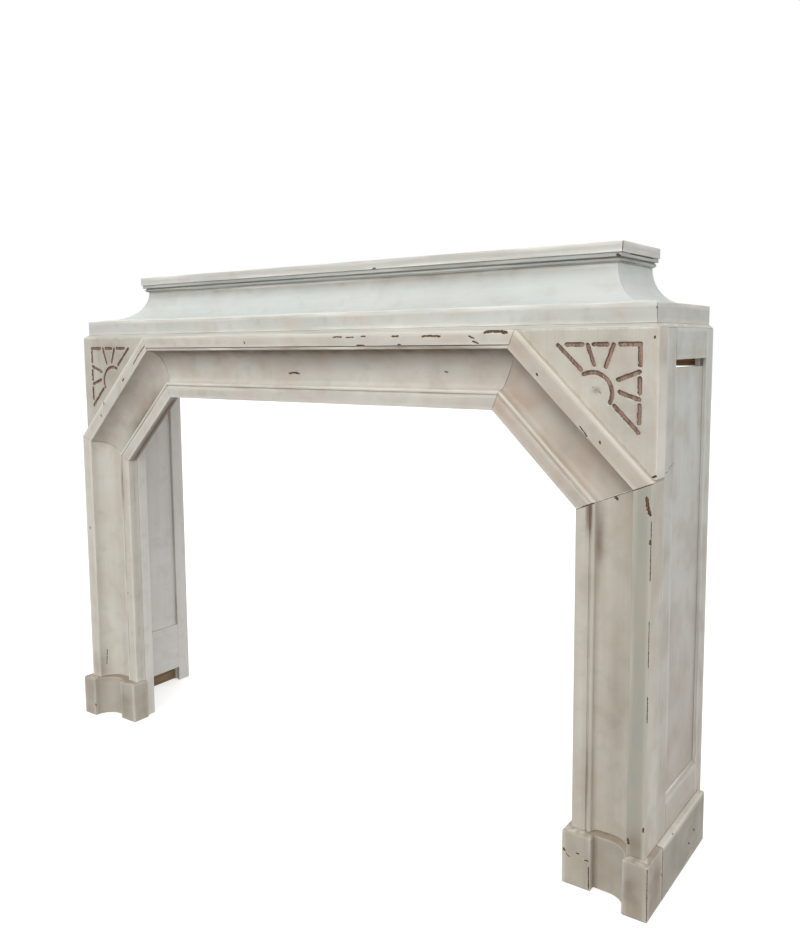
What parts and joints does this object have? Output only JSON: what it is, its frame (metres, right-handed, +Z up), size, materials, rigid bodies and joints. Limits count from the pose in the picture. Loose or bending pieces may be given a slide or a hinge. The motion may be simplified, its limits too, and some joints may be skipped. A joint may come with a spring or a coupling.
{
  "type": "fire surround",
  "caption": "Painted timber fire surround with a canted opening, carved spandrels, panelled side returns, moulded legs on plinths and a coved cornice under a narrow mantel shelf.",
  "frame": {"origin": "centre of the bounding box in plan, on the floor", "axes": "+X towards the viewer's right along the front, +Y back towards the wall, +Z up; the front faces -Y"},
  "size_m": [1.549, 0.34, 1.165],
  "materials": {
    "aged_white_paint": "brushed oil paint on softwood, aged, chipped and stained",
    "bare_softwood": "sawn and planed, unpainted"
  },
  "bodies": {
    "root": {"leg_left": "aged_white_paint", "leg_right": "aged_white_paint", "corner_piece_left": "aged_white_paint", "corner_piece_right": "aged_white_paint", "lintel": "aged_white_paint", "lintel_band": "aged_white_paint", "mitre_dowels": "bare_softwood", "spandrel_left": "aged_white_paint", "spandrel_right": "aged_white_paint", "plinth_block_left": "aged_white_paint", "plinth_block_right": "aged_white_paint", "plinth_side_left": "aged_white_paint", "plinth_side_right": "aged_white_paint", "lining_left": "aged_white_paint", "lining_right": "aged_white_paint", "front_stile_left": "aged_white_paint", "front_stile_right": "aged_white_paint", "back_stile_left": "aged_white_paint", "back_stile_right": "aged_white_paint", "top_rail_left": "aged_white_paint", "top_rail_right": "aged_white_paint", "bottom_rail_left": "aged_white_paint", "bottom_rail_right": "aged_white_paint", "side_panel_left": "aged_white_paint", "side_panel_right": "aged_white_paint", "neck_front": "aged_white_paint", "neck_left": "aged_white_paint", "neck_right": "aged_white_paint", "fascia_front": "aged_white_paint", "fascia_left": "aged_white_paint", "fascia_right": "aged_white_paint", "cove_front": "aged_white_paint", "cove_left": "aged_white_paint", "cove_right": "aged_white_paint", "bed_mould_front": "aged_white_paint", "bed_mould_left": "aged_white_paint", "bed_mould_right": "aged_white_paint", "shelf_board": "aged_white_paint", "shelf_edge_front": "aged_white_paint", "shelf_edge_left": "aged_white_paint", "shelf_edge_right": "aged_white_paint", "rib_left": "bare_softwood", "rib_centre": "bare_softwood", "rib_right": "bare_softwood", "frame_rail": "bare_softwood", "wall_rail": "bare_softwood", "glue_blocks_left": "bare_softwood", "glue_blocks_right": "bare_softwood"}
  },
  "joints": []
}
